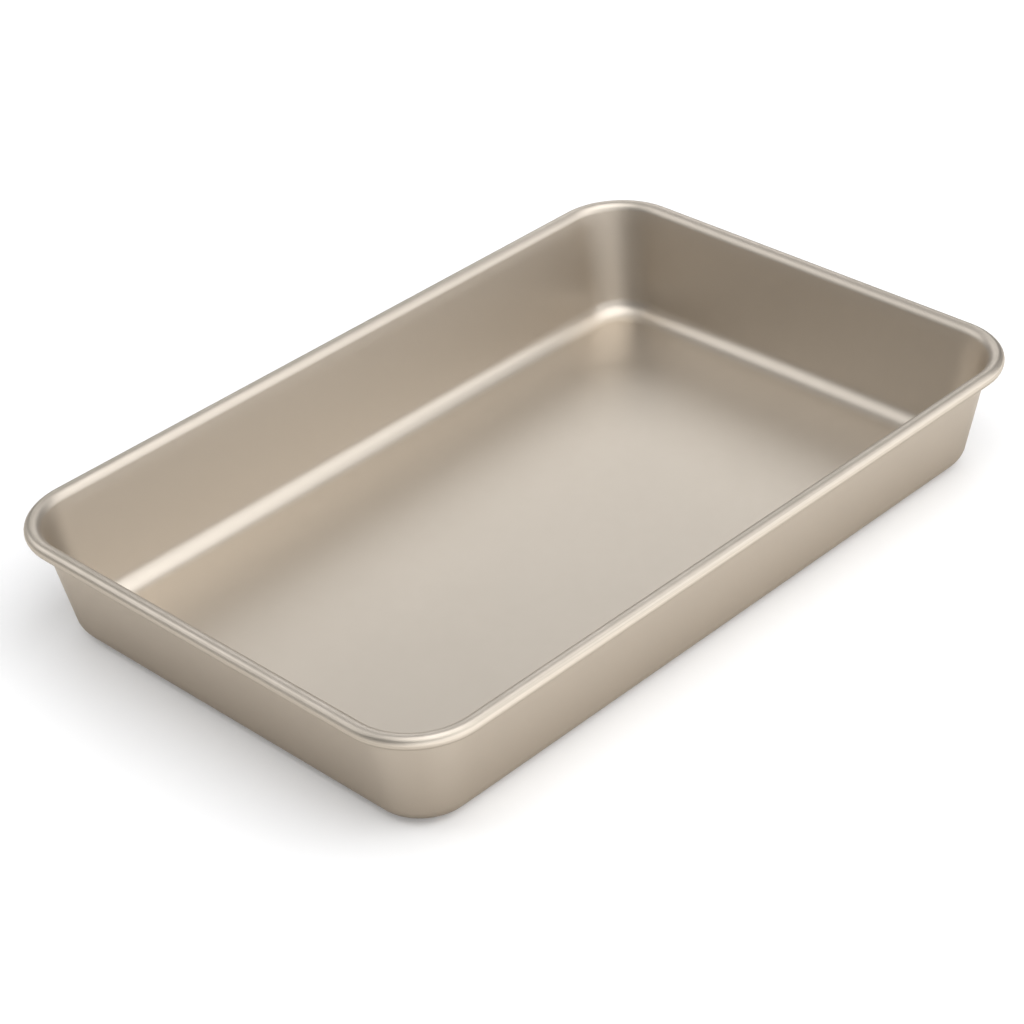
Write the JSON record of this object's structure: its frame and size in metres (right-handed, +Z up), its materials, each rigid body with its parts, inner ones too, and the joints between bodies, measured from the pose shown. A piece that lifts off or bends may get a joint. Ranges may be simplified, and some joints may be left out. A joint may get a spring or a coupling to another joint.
{
  "type": "rectangular cake pan",
  "caption": "Rectangular metal cake pan with leaning walls, rounded corners, a flat floor and a rim rolled over a wire, for baking and serving sheet cakes.",
  "frame": {"origin": "middle of the underside, on the surface that the pan stands on", "axes": "+X along the long side, +Y along the short side, +Z up, out of the open top"},
  "size_m": [0.2914, 0.1904, 0.042],
  "materials": {
    "champagne_coat": "satin champagne non-stick coat on carbon steel sheet",
    "bare_wire": "bright drawn steel wire"
  },
  "bodies": {
    "root": {"pan_shell": "champagne_coat", "rim_wire": "bare_wire"}
  },
  "joints": []
}
